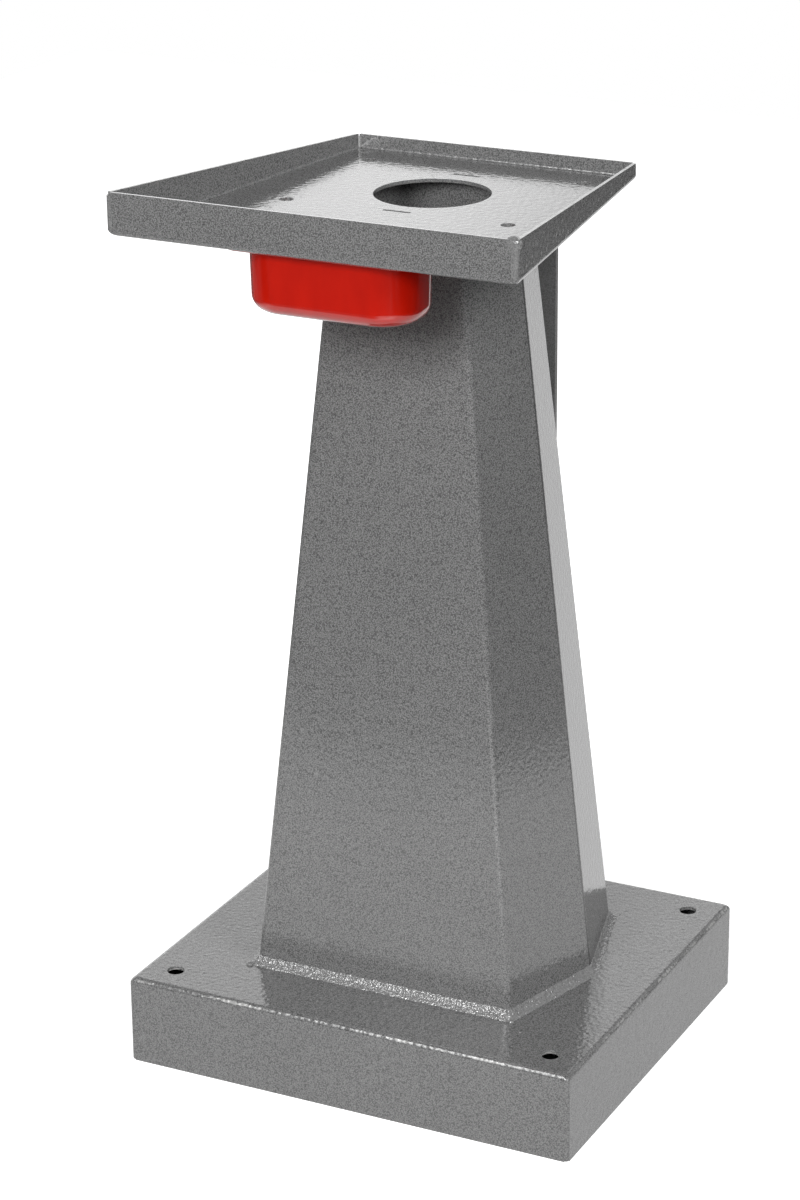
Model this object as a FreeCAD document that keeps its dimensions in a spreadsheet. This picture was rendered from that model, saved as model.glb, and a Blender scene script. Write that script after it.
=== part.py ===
import FreeCAD, Part
import os

import Sketcher
from FreeCAD import Vector

# Pedestal for a bench grinder: a folded base pan, a tapered six-sided column welded
# up from two folded half shells, a folded tool tray with tapering lips, a flat stay
# behind the column and a water pot that slides out from under the tray.
# Frame: +Z up, -Y is the front, origin on the floor under the column's axis.

# Driving dimensions, in millimetres and degrees.
SIZES = {
    # base pan
    "base_width": 420,
    "base_depth": 365,
    "base_height": 80,
    "base_sheet": 3,
    "base_fold_radius": 5,
    "anchor_inset": 30,
    "anchor_hole_diameter": 15,
    "base_corner_weld_lift": 2,
    "corner_root_gap": 0.5,
    # column
    "column_height": 680,
    "column_sheet": 3,
    "column_fold_radius": 6,
    "foot_face_width": 244,
    "foot_corner_width": 302,
    "foot_depth": 217,
    "head_face_width": 115,
    "head_depth": 135,
    "seam_width": 1.5,
    "seam_root": 1.8,
    "foot_weld_leg": 6,
    "head_weld_leg": 4,
    "tab_width": 24,
    "tab_clearance": 0.3,
    # tray
    "tray_front_width": 358,
    "tray_rear_width": 262,
    "tray_front_reach": 221.5,
    "tray_front_lip": 36,
    "tray_rear_lip": 15,
    "tray_sheet": 3,
    "tray_fold_radius": 5,
    "cable_hole_diameter": 98,
    "grinder_bolts_across": 200,
    "grinder_bolts_along": 150,
    "grinder_bolts_offset": 7,
    "grinder_hole_diameter": 12,
    "rim_weld_drop": 1.5,
    # stay
    "stay_width": 120,
    "stay_thickness": 5,
    "stay_clearance": 2,
    "stay_tab_width": 30,
    "stay_weld_leg": 5,
    "groove_fill": 0.58,
    # water pot and its rails
    "pot_width": 150,
    "pot_depth": 78,
    "pot_height": 55,
    "pot_wall": 2,
    "pot_corner_radius": 36,
    "pot_bottom_radius": 10,
    "pot_draft": 1.4,
    "pot_reach": 165,
    "rim_width": 7,
    "rim_thickness": 2,
    "rim_corner_radius": 12,
    "rail_sheet": 2,
    "rail_length": 88,
    "rail_foot_width": 12,
    "rail_channel": 3,
    "rail_ledge_gap": 1.5,
    "rail_side_gap": 0.5,
    "running_gap": 0.3,
}

doc = FreeCAD.newDocument("grinder_stand")
sheet = doc.addObject("Spreadsheet::Sheet", "Sizes")
for row, (alias, size) in enumerate(SIZES.items(), start=1):
    sheet.set(f"A{row}", alias)
    sheet.set(f"B{row}", str(size))
    sheet.setAlias(f"B{row}", alias)
doc.recompute()

# Levels and places that several pieces share, as expressions on the sheet.
BASE_TOP = "Sizes.base_height"
TRAY_LEVEL = "(Sizes.base_height + Sizes.column_height)"
SIDE_SLOPE = "((Sizes.foot_corner_width - Sizes.foot_face_width) / Sizes.foot_depth)"
SIDE_SECANT = f"sqrt(1 + {SIDE_SLOPE} ^ 2)"
STAY_FRONT = "(Sizes.foot_depth / 2 + Sizes.foot_weld_leg + Sizes.stay_clearance)"
STAY_REAR = f"({STAY_FRONT} + Sizes.stay_thickness)"
TRAY_LENGTH = f"(Sizes.tray_front_reach + {STAY_REAR})"
LIP_FLARE = f"((Sizes.tray_front_width - Sizes.tray_rear_width) / 2 / {TRAY_LENGTH})"
LIP_SECANT = f"sqrt(1 + {LIP_FLARE} ^ 2)"
LEDGE_TOP = f"({TRAY_LEVEL} - Sizes.rail_channel)"
RIM_TOP = f"({LEDGE_TOP} + Sizes.running_gap + Sizes.rim_thickness)"
RAIL_REAR = (
    "(Sizes.pot_reach - Sizes.pot_depth / 2 - Sizes.rim_width"
    " - Sizes.running_gap - Sizes.rail_sheet)"
)

SIDES = {"left": -1, "right": 1}
ENDS = {"front": -1, "rear": 1}
HIGHER_CUT = 100

nodes = []


# ---------------------------------------------------------------- sketch and feature helpers

def new_body(label):
    """A body that becomes one node of the stand."""
    body = doc.addObject("PartDesign::Body", label)
    body.Label = label
    nodes.append(body)
    return body


def new_sketch(body, name, height="0", role="XY_Plane"):
    """A sketch parallel to one of the body's own origin planes, at a height above it."""
    sketch = body.newObject("Sketcher::SketchObject", name)
    plane = next(item for item in body.Origin.OriginFeatures if item.Role == role)
    sketch.AttachmentSupport = [(plane, "")]
    sketch.MapMode = "FlatFace"
    sketch.setExpression("AttachmentOffset.Base.z", height)
    return sketch


def measure(expression):
    """The present value of an expression on the sheet."""
    return float(sheet.evalExpression(expression))


def pin_point(sketch, geometry, point, corner):
    """Ties one point of a sketch to a pair of expressions, its x and y."""
    for kind, axis, expression in zip(("DistanceX", "DistanceY"), (-2, -1), corner):
        if expression == "0":
            sketch.addConstraint(Sketcher.Constraint("PointOnObject", geometry, point, axis))
            continue
        constraint = Sketcher.Constraint(kind, -1, 1, geometry, point, measure(expression))
        index = sketch.addConstraint(constraint)
        sketch.setExpression(f"Constraints[{index}]", expression)


def add_outline(sketch, corners, folds=()):
    """A closed outline through the corners; folds gives some of them a round.

    Each fold is the corner's number, the centre of its arc and the arc's radius.
    """
    count = len(corners)
    sharp = [Vector(measure(across), measure(along), 0) for across, along in corners]
    rounds = {number: (centre, radius) for number, centre, radius in folds}
    touches = {}
    for number, (centre, radius) in rounds.items():
        middle = Vector(measure(centre[0]), measure(centre[1]), 0)
        before = foot_of(middle, sharp[number - 1], sharp[number])
        after = foot_of(middle, sharp[number], sharp[(number + 1) % count])
        touches[number] = (before, after, middle)

    first = sketch.GeometryCount
    for index in range(count):
        following = (index + 1) % count
        start = touches[index][1] if index in touches else sharp[index]
        end = touches[following][0] if following in touches else sharp[following]
        sketch.addGeometry(Part.LineSegment(start, end), False)
    for index in range(count):
        before = first + (index - 1) % count
        if index not in rounds:
            joint = Sketcher.Constraint("Coincident", before, 2, first + index, 1)
            sketch.addConstraint(joint)
            pin_point(sketch, first + index, 1, corners[index])
            continue
        centre, radius = rounds[index]
        start, end, middle = touches[index]
        left_turn = (start - middle).cross(end - middle).z > 0
        circle = Part.Circle(middle, Vector(0, 0, 1), measure(radius))
        limits = [circle.parameter(start), circle.parameter(end)]
        if not left_turn:
            limits.reverse()
        arc = sketch.addGeometry(Part.ArcOfCircle(circle, *limits), False)
        arc_start, arc_end = (1, 2) if left_turn else (2, 1)
        sketch.addConstraint(Sketcher.Constraint("Tangent", before, 2, arc, arc_start))
        sketch.addConstraint(Sketcher.Constraint("Tangent", arc, arc_end, first + index, 1))
        pin_point(sketch, arc, 3, centre)
        size = sketch.addConstraint(Sketcher.Constraint("Radius", arc, measure(radius)))
        sketch.setExpression(f"Constraints[{size}]", radius)


def foot_of(point, start, end):
    """Foot of the perpendicular from a point to the line through start and end."""
    along = (end - start).normalize()
    return start + along * (point - start).dot(along)


def add_rectangle(sketch, left, right, front, rear):
    """A rectangle between four expressions."""
    add_outline(sketch, [(left, front), (right, front), (right, rear), (left, rear)])


def add_circle(sketch, centre, diameter):
    """A circle whose centre and diameter follow expressions."""
    place = Vector(measure(centre[0]), measure(centre[1]), 0)
    geometry = sketch.addGeometry(Part.Circle(place, Vector(0, 0, 1), measure(diameter) / 2), False)
    pin_point(sketch, geometry, 3, centre)
    index = sketch.addConstraint(Sketcher.Constraint("Diameter", geometry, measure(diameter)))
    sketch.setExpression(f"Constraints[{index}]", diameter)


def add_rounded_rectangle(sketch, width, depth, radius, middle):
    """A rectangle with round corners, centred across, with its middle at an expression along."""
    half_width = f"({width} / 2)"
    half_depth = f"({depth} / 2)"
    corners = []
    folds = []
    for number, (side, end) in enumerate(((-1, -1), (1, -1), (1, 1), (-1, 1))):
        corners.append((f"{side} * {half_width}", f"{middle} + {end} * {half_depth}"))
        centre = (
            f"{side} * ({half_width} - {radius})",
            f"{middle} + {end} * ({half_depth} - {radius})",
        )
        folds.append((number, centre, radius))
    add_outline(sketch, corners, folds)


def pad(body, sketch, length, name, reverse=False, taper=None):
    """Material from a sketch along its normal, or against it."""
    feature = body.newObject("PartDesign::Pad", name)
    feature.Profile = sketch
    feature.Reversed = reverse
    feature.setExpression("Length", length)
    if taper:
        feature.setExpression("TaperAngle", taper)
    doc.recompute()
    return feature


def pocket(body, sketch, length, name, reverse=False, both_ways=False, taper=None):
    """A cut from a sketch against its normal, or along it; it has to take material away."""
    before = body.Shape.Volume
    feature = body.newObject("PartDesign::Pocket", name)
    feature.Profile = sketch
    feature.Reversed = reverse
    feature.Midplane = both_ways
    feature.setExpression("Length", length)
    if taper:
        feature.setExpression("TaperAngle", taper)
    doc.recompute()
    if feature.Shape.Volume >= before - 1e-6:
        raise RuntimeError(f"{name} takes nothing away")
    return feature


def loft(body, kind, sketches, name):
    """A straight-sided loft between two outlines."""
    feature = body.newObject(kind, name)
    feature.Profile = sketches[0]
    feature.Sections = [sketches[1]]
    feature.Ruled = True
    doc.recompute()
    return feature


def edges_of(feature, test):
    """Names of the edges whose two ends pass the test."""
    names = []
    for number, edge in enumerate(feature.Shape.Edges, start=1):
        if len(edge.Vertexes) == 2 and test(edge.Vertexes[0].Point, edge.Vertexes[1].Point):
            names.append(f"Edge{number}")
    return names


def face_at(feature, test):
    """Name of the face whose centre passes the test."""
    for number, face in enumerate(feature.Shape.Faces, start=1):
        if test(face.CenterOfMass, face):
            return f"Face{number}"
    raise RuntimeError(f"{feature.Name} has no such face")


def fillet(body, feature, edges, radius, name):
    """Rounds the named edges of a feature."""
    rounded = body.newObject("PartDesign::Fillet", name)
    rounded.Base = (feature, edges)
    rounded.setExpression("Radius", radius)
    doc.recompute()
    return rounded


def hollow(body, feature, open_face, wall, name):
    """Turns a block into sheet of one thickness, open at one face."""
    shell = body.newObject("PartDesign::Thickness", name)
    shell.Base = (feature, [open_face])
    shell.Reversed = True
    shell.Join = "Arc"
    shell.setExpression("Value", wall)
    doc.recompute()
    return shell


# ---------------------------------------------------------------- base pan

def make_base_pan():
    """Folded pan, open below, with its corners left for welding and four anchor holes."""
    body = new_body("base_pan")
    outline = new_sketch(body, "pan_outline")
    half_width = "Sizes.base_width / 2"
    half_depth = "Sizes.base_depth / 2"
    add_rectangle(outline, f"-{half_width}", half_width, f"-{half_depth}", half_depth)
    block = pad(body, outline, BASE_TOP, "pan_block")
    top = measure(BASE_TOP)
    top_edges = edges_of(block, lambda a, b: min(a.z, b.z) > top - 0.01)
    folded = fillet(body, block, top_edges, "Sizes.base_fold_radius", "pan_folds")
    underside = face_at(folded, lambda centre, face: centre.z < 0.01)
    hollow(body, folded, underside, "Sizes.base_sheet", "pan_sheet")

    corners = new_sketch(body, "pan_corner_gaps")
    for side in SIDES.values():
        for end in ENDS.values():
            add_outline(corners, base_corner(side, end))
    pocket(body, corners, base_seam_height(), "pan_corner_cut", reverse=True)

    anchors = new_sketch(body, "anchor_places", BASE_TOP)
    for side in SIDES.values():
        for end in ENDS.values():
            add_circle(anchors, anchor_place(side, end), "Sizes.anchor_hole_diameter")
    pocket(body, anchors, "Sizes.base_sheet * 2", "anchor_holes")


def base_corner(side, end):
    """The square gap between two flanges of the pan at one corner."""
    outer_x = f"{side} * Sizes.base_width / 2"
    outer_y = f"{end} * Sizes.base_depth / 2"
    weld_in = "Sizes.base_sheet + Sizes.corner_root_gap"
    inner_x = f"{side} * (Sizes.base_width / 2 - ({weld_in}))"
    inner_y = f"{end} * (Sizes.base_depth / 2 - ({weld_in}))"
    return [(outer_x, outer_y), (inner_x, outer_y), (inner_x, inner_y), (outer_x, inner_y)]


def base_seam_height():
    """The corner gaps end where the top folds begin."""
    return "Sizes.base_height - Sizes.base_fold_radius"


def anchor_place(side, end):
    """Centre of one floor anchor hole."""
    return (
        f"{side} * (Sizes.base_width / 2 - Sizes.anchor_inset)",
        f"{end} * (Sizes.base_depth / 2 - Sizes.anchor_inset)",
    )


def make_base_corner_weld(side_name, end_name):
    """Weld run that fills one corner of the pan, rounded on its outer edge."""
    side = SIDES[side_name]
    end = ENDS[end_name]
    body = new_body(f"base_corner_weld_{end_name}_{side_name}")
    outline = new_sketch(body, "seam_section", "Sizes.base_corner_weld_lift")
    add_outline(outline, base_corner(side, end))
    length = f"{base_seam_height()} - Sizes.base_corner_weld_lift"
    run = pad(body, outline, length, "seam_run")
    outer_x = side * measure("Sizes.base_width / 2")
    outer_y = end * measure("Sizes.base_depth / 2")
    corner = edges_of(run, lambda a, b: on_upright(a, b, outer_x, outer_y))
    fillet(body, run, corner, "Sizes.base_sheet * 0.8", "seam_rounding")


def on_upright(first, second, across, along):
    """Whether an edge stands upright at one place."""
    places = (first, second)
    return all(abs(p.x - across) < 0.01 and abs(p.y - along) < 0.01 for p in places)


# ---------------------------------------------------------------- column

def column_section(fraction, grow="0"):
    """Half face width, half depth and half corner width at a fraction of the column's height.

    The outline is offset outwards by grow. Foot and head outlines keep their sides
    parallel, so that every face of the column is flat.
    """
    face = (
        "(Sizes.foot_face_width"
        f" + (Sizes.head_face_width - Sizes.foot_face_width) * ({fraction})) / 2"
    )
    depth = f"(Sizes.foot_depth + (Sizes.head_depth - Sizes.foot_depth) * ({fraction})) / 2"
    corner = f"({face} + {SIDE_SLOPE} * {depth})"
    return (
        f"({face} + ({grow}) * ({SIDE_SECANT} - {SIDE_SLOPE}))",
        f"({depth} + ({grow}))",
        f"({corner} + ({grow}) * {SIDE_SECANT})",
    )


def fold_centre(fraction, side, end):
    """Centre of one of the column's folds, seen in section."""
    face, depth, _ = column_section(fraction, "-Sizes.column_fold_radius")
    return (f"{side} * {face}", f"{end} * {depth}")


def add_column_outline(sketch, fraction, grow="0"):
    """The column's six-sided outline at a fraction of its height, grown outwards."""
    face, depth, corner = column_section(fraction, grow)
    corners = [
        (f"-{face}", f"-{depth}"),
        (face, f"-{depth}"),
        (corner, "0"),
        (face, depth),
        (f"-{face}", depth),
        (f"-{corner}", "0"),
    ]
    radius = f"Sizes.column_fold_radius + {grow}"
    places = {0: (-1, -1), 1: (1, -1), 3: (1, 1), 4: (-1, 1)}
    folds = [(number, fold_centre(fraction, *place), radius) for number, place in places.items()]
    add_outline(sketch, corners, folds)


def add_half_shell_outline(sketch, fraction, end):
    """Section of one folded half: three walls, each free edge bevelled for the seam weld."""
    face, depth, corner = column_section(fraction)
    inner_face, inner_depth, inner_corner = column_section(fraction, "-Sizes.column_sheet")
    bevel = f"({corner} - {SIDE_SLOPE} * Sizes.seam_width)"
    root = f"({corner} - Sizes.seam_root)"
    seam = f"{end} * Sizes.seam_width"
    corners = [
        (bevel, seam),
        (root, "0"),
        (inner_corner, "0"),
        (inner_face, f"{end} * {inner_depth}"),
        (f"-{inner_face}", f"{end} * {inner_depth}"),
        (f"-{inner_corner}", "0"),
        (f"-{root}", "0"),
        (f"-{bevel}", seam),
        (f"-{face}", f"{end} * {depth}"),
        (face, f"{end} * {depth}"),
    ]
    outer = "Sizes.column_fold_radius"
    inner = "Sizes.column_fold_radius - Sizes.column_sheet"
    right = fold_centre(fraction, 1, end)
    left = fold_centre(fraction, -1, end)
    add_outline(sketch, corners, [
        (3, right, inner), (4, left, inner), (8, left, outer), (9, right, outer),
    ])


def make_column_shell(end_name):
    """One folded half of the column with the tab that locates the tray."""
    end = ENDS[end_name]
    body = new_body(f"column_{end_name}_shell")
    foot = new_sketch(body, "foot_section", BASE_TOP)
    add_half_shell_outline(foot, "0", end)
    head = new_sketch(body, "head_section", TRAY_LEVEL)
    add_half_shell_outline(head, "1", end)
    loft(body, "PartDesign::AdditiveLoft", (foot, head), "shell_walls")

    tab = new_sketch(body, "tab_section", TRAY_LEVEL)
    add_rectangle(tab, *tab_limits(end, "0"))
    pad(body, tab, "Sizes.tray_sheet", "tray_tab")


def tab_limits(end, clearance):
    """Left, right, near and far limits of a column tab, or of its slot with a clearance."""
    half_width = f"(Sizes.tab_width / 2 + {clearance})"
    near = f"{end} * (Sizes.head_depth / 2 - Sizes.column_sheet - {clearance})"
    far = f"{end} * (Sizes.head_depth / 2 + {clearance})"
    return (f"-{half_width}", half_width, near, far)


def make_column_seam(side_name):
    """Weld run up one corner of the column, dressed flush with both half shells."""
    side = SIDES[side_name]
    body = new_body(f"column_seam_weld_{side_name}")
    sections = []
    for name, fraction, level in (("foot_bevel", "0", BASE_TOP), ("head_bevel", "1", TRAY_LEVEL)):
        section = new_sketch(body, name, level)
        _, _, corner = column_section(fraction)
        bevel = f"{side} * ({corner} - {SIDE_SLOPE} * Sizes.seam_width)"
        add_outline(section, [
            (f"{side} * {corner}", "0"),
            (bevel, "Sizes.seam_width"),
            (f"{side} * ({corner} - Sizes.seam_root)", "0"),
            (bevel, "-Sizes.seam_width"),
        ])
        sections.append(section)
    loft(body, "PartDesign::AdditiveLoft", sections, "seam_run")


def make_ring_weld(label, leg, level, upward):
    """Fillet weld that runs right round the column where it meets a flat sheet."""
    body = new_body(label)
    rise = f"{leg} / Sizes.column_height"
    if upward:
        fractions = ("0", rise)
        levels = (level, f"{level} + {leg}")
    else:
        fractions = ("1", f"1 - {rise}")
        levels = (level, f"{level} - {leg}")
    thin_edge = f"{leg} / 20"
    toe = new_sketch(body, "toe_outline", levels[0])
    add_column_outline(toe, fractions[0], leg)
    throat = new_sketch(body, "throat_outline", levels[1])
    add_column_outline(throat, fractions[1], thin_edge)
    loft(body, "PartDesign::AdditiveLoft", (toe, throat), "bead_block")
    near = new_sketch(body, "near_column", levels[0])
    add_column_outline(near, fractions[0])
    far = new_sketch(body, "far_column", levels[1])
    add_column_outline(far, fractions[1])
    loft(body, "PartDesign::SubtractiveLoft", (near, far), "column_space")


# ---------------------------------------------------------------- tray

def tray_edge(along, inward="0"):
    """Half width of the tray at a distance along Y, drawn in by an offset square to the lip."""
    at_axis = f"(Sizes.tray_rear_width / 2 + {STAY_REAR} * {LIP_FLARE})"
    return f"({at_axis} - ({along}) * {LIP_FLARE} - ({inward}) * {LIP_SECANT})"


def tray_corner(side, end):
    """The gap between two lips of the tray at one corner."""
    reach = STAY_REAR if end > 0 else "Sizes.tray_front_reach"
    weld_in = "Sizes.tray_sheet + Sizes.corner_root_gap"
    outer_y = f"{end} * {reach}"
    inner_y = f"{end} * ({reach} - ({weld_in}))"
    return [
        (f"{side} * {tray_edge(outer_y)}", outer_y),
        (f"{side} * {tray_edge(outer_y, weld_in)}", outer_y),
        (f"{side} * {tray_edge(inner_y, weld_in)}", inner_y),
        (f"{side} * {tray_edge(inner_y)}", inner_y),
    ]


def make_tray():
    """Folded tray: level floor, front lip high, rear lip low, side lips tapering between."""
    body = new_body("tool_tray")
    front = "-Sizes.tray_front_reach"
    rear = STAY_REAR
    outline = new_sketch(body, "tray_outline", TRAY_LEVEL)
    add_outline(outline, [
        ("-Sizes.tray_front_width / 2", front),
        ("Sizes.tray_front_width / 2", front),
        ("Sizes.tray_rear_width / 2", rear),
        ("-Sizes.tray_rear_width / 2", rear),
    ])
    pad(body, outline, "Sizes.tray_front_lip", "tray_block")

    # side view, seen along X: everything above the line from rim to rim comes off
    slope = new_sketch(body, "rim_line", role="YZ_Plane")
    front_rim = f"{TRAY_LEVEL} + Sizes.tray_front_lip"
    rear_rim = f"{TRAY_LEVEL} + Sizes.tray_rear_lip"
    above = f"{front_rim} + {HIGHER_CUT}"
    add_outline(slope, [(front, front_rim), (rear, rear_rim), (rear, above), (front, above)])
    tapered = pocket(body, slope, "Sizes.tray_front_width * 2", "rim_taper", both_ways=True)

    floor = measure(TRAY_LEVEL)
    bottom_edges = edges_of(tapered, lambda a, b: max(a.z, b.z) < floor + 0.01)
    folded = fillet(body, tapered, bottom_edges, "Sizes.tray_fold_radius", "tray_folds")
    rim = face_at(folded, lambda centre, face: face.normalAt(0, 0).z > 0.9)
    hollow(body, folded, rim, "Sizes.tray_sheet", "tray_sheet_form")

    corners = new_sketch(body, "tray_corner_gaps", tray_seam_start())
    for side in SIDES.values():
        for end in ENDS.values():
            add_outline(corners, tray_corner(side, end))
    pocket(body, corners, "Sizes.tray_front_lip", "tray_corner_cut", reverse=True)

    floor_top = f"{TRAY_LEVEL} + Sizes.tray_sheet"
    cable = new_sketch(body, "cable_hole_place", floor_top)
    add_circle(cable, ("0", "0"), "Sizes.cable_hole_diameter")
    pocket(body, cable, "Sizes.tray_sheet * 2", "cable_hole")

    bolts = new_sketch(body, "grinder_bolt_places", floor_top)
    for side in SIDES.values():
        for end in ENDS.values():
            across = f"{side} * Sizes.grinder_bolts_across / 2"
            along = f"Sizes.grinder_bolts_offset + {end} * Sizes.grinder_bolts_along / 2"
            add_circle(bolts, (across, along), "Sizes.grinder_hole_diameter")
    pocket(body, bolts, "Sizes.tray_sheet * 2", "grinder_bolt_holes")

    slots = new_sketch(body, "column_slot_places", floor_top)
    for end in ENDS.values():
        add_rectangle(slots, *tab_limits(end, "Sizes.tab_clearance"))
    pocket(body, slots, "Sizes.tray_sheet * 2", "column_slots")

    stay_slot = new_sketch(body, "stay_slot_place", TRAY_LEVEL)
    half_slot = "(Sizes.stay_tab_width / 2 + Sizes.tab_clearance)"
    slot_front = f"{rear} - Sizes.stay_thickness - Sizes.tab_clearance"
    slot_rear = f"{rear} + Sizes.tab_clearance"
    add_rectangle(stay_slot, f"-{half_slot}", half_slot, slot_front, slot_rear)
    slot_depth = "Sizes.tray_sheet + Sizes.tab_clearance"
    pocket(body, stay_slot, slot_depth, "stay_slot", reverse=True)


def tray_seam_start():
    """The lip corners are open from the top of the floor fold upwards."""
    return f"{TRAY_LEVEL} + Sizes.tray_fold_radius"


def make_tray_corner_weld(side_name, end_name):
    """Weld run that closes one corner of the tray, ending just below the rim."""
    side = SIDES[side_name]
    end = ENDS[end_name]
    lip = "Sizes.tray_rear_lip" if end > 0 else "Sizes.tray_front_lip"
    body = new_body(f"tray_corner_weld_{end_name}_{side_name}")
    outline = new_sketch(body, "seam_section", tray_seam_start())
    corner = tray_corner(side, end)
    add_outline(outline, corner)
    length = f"{lip} - Sizes.tray_fold_radius - Sizes.rim_weld_drop"
    run = pad(body, outline, length, "seam_run")
    outer_x, outer_y = (measure(value) for value in corner[0])
    upright = edges_of(run, lambda a, b: on_upright(a, b, outer_x, outer_y))
    fillet(body, run, upright, "Sizes.tray_sheet * 0.8", "seam_rounding")


# ---------------------------------------------------------------- stay

def make_stay():
    """Flat bar upright behind the column, from the base to the tray's rear fold."""
    body = new_body("rear_stay")
    # the sketch faces the front, so its height above the plane counts towards -Y
    outline = new_sketch(body, "stay_outline", f"-{STAY_REAR}", role="XZ_Plane")
    half_width = "Sizes.stay_width / 2"
    half_tab = "Sizes.stay_tab_width / 2"
    tab_top = f"{TRAY_LEVEL} + Sizes.tray_sheet"
    add_outline(outline, [
        (f"-{half_width}", BASE_TOP),
        (half_width, BASE_TOP),
        (half_width, TRAY_LEVEL),
        (half_tab, TRAY_LEVEL),
        (half_tab, tab_top),
        (f"-{half_tab}", tab_top),
        (f"-{half_tab}", TRAY_LEVEL),
        (f"-{half_width}", TRAY_LEVEL),
    ])
    pad(body, outline, "Sizes.stay_thickness", "stay_bar")


def make_stay_foot_weld():
    """Fillet weld along the stay's rear foot."""
    body = new_body("stay_foot_weld")
    section = new_sketch(body, "bead_section", "-Sizes.stay_width / 2", role="YZ_Plane")
    add_outline(section, [
        (STAY_REAR, BASE_TOP),
        (f"{STAY_REAR} + Sizes.stay_weld_leg", BASE_TOP),
        (STAY_REAR, f"{BASE_TOP} + Sizes.stay_weld_leg"),
    ])
    pad(body, section, "Sizes.stay_width", "bead_run")


def make_stay_head_weld(side_name):
    """Weld in the groove between the stay's top edge and the tray's rear fold."""
    side = SIDES[side_name]
    body = new_body(f"stay_head_weld_{side_name}")
    inner_end = "Sizes.stay_tab_width / 2 + Sizes.tab_clearance"
    near_end = inner_end if side > 0 else "-Sizes.stay_width / 2"
    leg = "Sizes.tray_fold_radius * Sizes.groove_fill"
    section = new_sketch(body, "groove_section", near_end, role="YZ_Plane")
    add_outline(section, [
        (f"{STAY_REAR} - {leg}", TRAY_LEVEL),
        (STAY_REAR, TRAY_LEVEL),
        (STAY_REAR, f"{TRAY_LEVEL} + {leg}"),
    ])
    pad(body, section, f"Sizes.stay_width / 2 - ({inner_end})", "bead_run")


# ---------------------------------------------------------------- water pot and rails

def make_rail(side_name):
    """Folded rail under the tray: foot flange outwards, ledge inwards, a stop at the rear."""
    side = SIDES[side_name]
    body = new_body(f"pot_rail_{side_name}")
    section = new_sketch(body, "rail_section", RAIL_REAR, role="XZ_Plane")
    web_in = "(Sizes.pot_width / 2 + Sizes.rim_width + Sizes.rail_side_gap)"
    web_out = f"({web_in} + Sizes.rail_sheet)"
    ledge_in = "(Sizes.pot_width / 2 + Sizes.rail_ledge_gap)"
    foot_out = f"({web_in} + Sizes.rail_foot_width)"
    ledge_low = f"({LEDGE_TOP} - Sizes.rail_sheet)"
    foot_low = f"({TRAY_LEVEL} - Sizes.rail_sheet)"
    add_outline(section, [
        (f"{side} * {ledge_in}", ledge_low),
        (f"{side} * {web_out}", ledge_low),
        (f"{side} * {web_out}", foot_low),
        (f"{side} * {foot_out}", foot_low),
        (f"{side} * {foot_out}", TRAY_LEVEL),
        (f"{side} * {web_in}", TRAY_LEVEL),
        (f"{side} * {web_in}", LEDGE_TOP),
        (f"{side} * {ledge_in}", LEDGE_TOP),
    ])
    pad(body, section, "Sizes.rail_length", "rail_bar")
    stop = new_sketch(body, "stop_section", RAIL_REAR, role="XZ_Plane")
    add_rectangle(stop, f"{side} * {ledge_in}", f"{side} * {web_in}", LEDGE_TOP, TRAY_LEVEL)
    pad(body, stop, "Sizes.rail_sheet", "rail_stop")


def make_water_pot():
    """Moulded pot with drafted walls and a flat rim that runs in the rails."""
    body = new_body("water_pot")
    middle = "-Sizes.pot_reach"
    draft = "-Sizes.pot_draft"
    mouth = new_sketch(body, "mouth_outline", RIM_TOP)
    add_rounded_rectangle(
        mouth, "Sizes.pot_width", "Sizes.pot_depth", "Sizes.pot_corner_radius", middle)
    pad(body, mouth, "Sizes.pot_height", "pot_block", reverse=True, taper=draft)

    cavity = new_sketch(body, "cavity_outline", RIM_TOP)
    inner_width = "(Sizes.pot_width - 2 * Sizes.pot_wall)"
    inner_depth = "(Sizes.pot_depth - 2 * Sizes.pot_wall)"
    inner_radius = "(Sizes.pot_corner_radius - Sizes.pot_wall)"
    add_rounded_rectangle(cavity, inner_width, inner_depth, inner_radius, middle)
    well_depth = "Sizes.pot_height - Sizes.pot_wall"
    well = pocket(body, cavity, well_depth, "pot_cavity", taper=draft)
    floor = measure(f"{RIM_TOP} - Sizes.pot_height + Sizes.pot_wall")
    floor_edges = edges_of(well, lambda a, b: max(abs(a.z - floor), abs(b.z - floor)) < 0.01)
    sloped = body.newObject("PartDesign::Chamfer", "pot_floor_slope")
    sloped.Base = (well, floor_edges)
    sloped.setExpression("Size", "Sizes.pot_bottom_radius / 2")
    doc.recompute()
    bottom = measure(f"{RIM_TOP} - Sizes.pot_height")
    low_edges = edges_of(sloped, lambda a, b: max(a.z, b.z) < bottom + 0.01)
    fillet(body, sloped, low_edges, "Sizes.pot_bottom_radius", "pot_bottom_rounding")

    # the rim's inner outline runs inside the wall, so that rim and wall are one piece
    rim = new_sketch(body, "rim_outline", RIM_TOP)
    rim_width = "(Sizes.pot_width + 2 * Sizes.rim_width)"
    rim_depth = "(Sizes.pot_depth + 2 * Sizes.rim_width)"
    add_rounded_rectangle(rim, rim_width, rim_depth, "Sizes.rim_corner_radius", middle)
    mid_wall_width = "(Sizes.pot_width - Sizes.pot_wall)"
    mid_wall_depth = "(Sizes.pot_depth - Sizes.pot_wall)"
    mid_wall_radius = "(Sizes.pot_corner_radius - Sizes.pot_wall / 2)"
    add_rounded_rectangle(rim, mid_wall_width, mid_wall_depth, mid_wall_radius, middle)
    pad(body, rim, "Sizes.rim_thickness", "pot_rim", reverse=True)


# ---------------------------------------------------------------- assembly

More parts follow.
